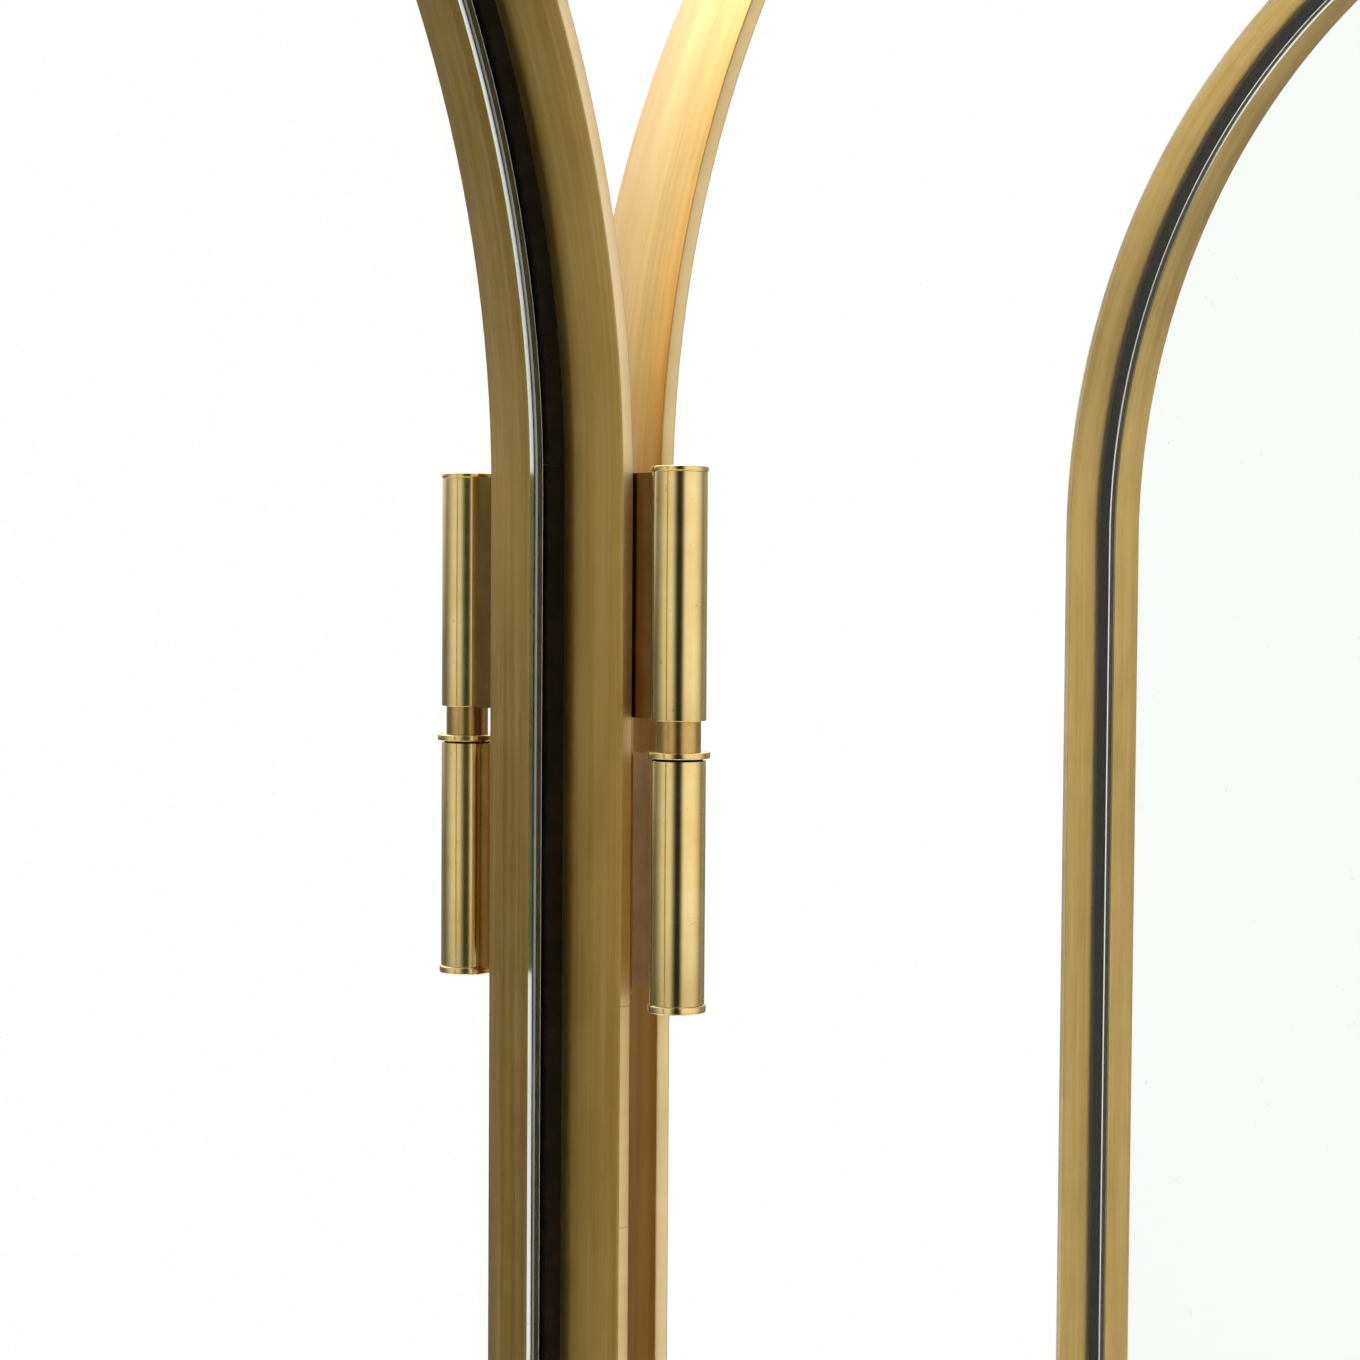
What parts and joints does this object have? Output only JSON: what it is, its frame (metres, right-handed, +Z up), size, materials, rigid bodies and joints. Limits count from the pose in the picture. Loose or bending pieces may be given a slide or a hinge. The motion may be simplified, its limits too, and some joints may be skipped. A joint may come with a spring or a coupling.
{
  "type": "folding room divider screen",
  "caption": "Folding screen of arched clear glass panels in thin flat brass bands, joined by slim two-way barrel hinges.",
  "frame": {"origin": "on the floor, under the middle of the whole screen's box at the rest fold", "axes": "+Z up; +X along the middle panel; -Y towards the near side of the middle panel"},
  "size_m": [0.9586, 0.6476, 1.75],
  "materials": {
    "satin_brass": "satin, brushed along its length, lightly worn",
    "polished_brass": "polished, with fine scratches",
    "screw_brass": "turned",
    "glass": "clear with a ground edge",
    "gasket_rubber": "matt black",
    "pad_rubber": "matt black"
  },
  "bodies": {
    "panel_middle": {"middle_arch": "satin_brass", "middle_left_stile": "satin_brass", "middle_right_stile": "satin_brass", "middle_bottom_rail": "satin_brass", "middle_glass": "glass", "middle_gasket": "gasket_rubber", "middle_feet": "satin_brass", "middle_foot_pads": "pad_rubber", "middle_leaf_screws": "screw_brass", "left_hinge_lower_near_leaf": "polished_brass", "left_hinge_lower_near_pin": "polished_brass", "right_hinge_lower_far_leaf": "polished_brass", "left_hinge_upper_near_leaf": "polished_brass", "left_hinge_upper_near_pin": "polished_brass", "right_hinge_upper_far_leaf": "polished_brass", "middle_panel_hinge_caps": "polished_brass", "middle_panel_washers": "polished_brass"},
    "panel_left": {"left_arch": "satin_brass", "left_left_stile": "satin_brass", "left_right_stile": "satin_brass", "left_bottom_rail": "satin_brass", "left_glass": "glass", "left_gasket": "gasket_rubber", "left_feet": "satin_brass", "left_foot_pads": "pad_rubber", "left_leaf_screws": "screw_brass", "left_hinge_lower_far_leaf": "polished_brass", "left_hinge_upper_far_leaf": "polished_brass", "left_panel_hinge_caps": "polished_brass"},
    "panel_right": {"right_arch": "satin_brass", "right_left_stile": "satin_brass", "right_right_stile": "satin_brass", "right_bottom_rail": "satin_brass", "right_glass": "glass", "right_gasket": "gasket_rubber", "right_feet": "satin_brass", "right_foot_pads": "pad_rubber", "right_leaf_screws": "screw_brass", "right_hinge_lower_near_leaf": "polished_brass", "right_hinge_lower_near_pin": "polished_brass", "right_hinge_upper_near_leaf": "polished_brass", "right_hinge_upper_near_pin": "polished_brass", "right_panel_hinge_caps": "polished_brass", "right_panel_washers": "polished_brass"},
    "link_left": {"left_hinge_lower_link_plate": "polished_brass", "left_hinge_lower_far_pin": "polished_brass", "left_hinge_upper_link_plate": "polished_brass", "left_hinge_upper_far_pin": "polished_brass", "left_link_hinge_caps": "polished_brass", "left_link_washers": "polished_brass"},
    "link_right": {"right_hinge_lower_link_plate": "polished_brass", "right_hinge_lower_far_pin": "polished_brass", "right_hinge_upper_link_plate": "polished_brass", "right_hinge_upper_far_pin": "polished_brass", "right_link_hinge_caps": "polished_brass", "right_link_washers": "polished_brass"}
  },
  "joints": [
    {"name": "left_near_fold", "type": "hinge", "parent": "panel_middle", "child": "link_left", "pos_m": [-0.03687, -0.18742, 0], "axis": [0, 0, 1], "range_deg": [-19, 161]},
    {"name": "left_far_fold", "type": "hinge", "parent": "link_left", "child": "panel_left", "pos_m": [-0.05666, -0.12993, 0], "axis": [0, 0, -1], "range_deg": [0, 90]},
    {"name": "right_far_fold", "type": "hinge", "parent": "panel_middle", "child": "link_right", "pos_m": [0.41473, -0.12662, 0], "axis": [0, 0, 1], "range_deg": [-103, 77]},
    {"name": "right_near_fold", "type": "hinge", "parent": "link_right", "child": "panel_right", "pos_m": [0.47397, -0.11294, 0], "axis": [0, 0, -1], "range_deg": [0, 90]}
  ]
}
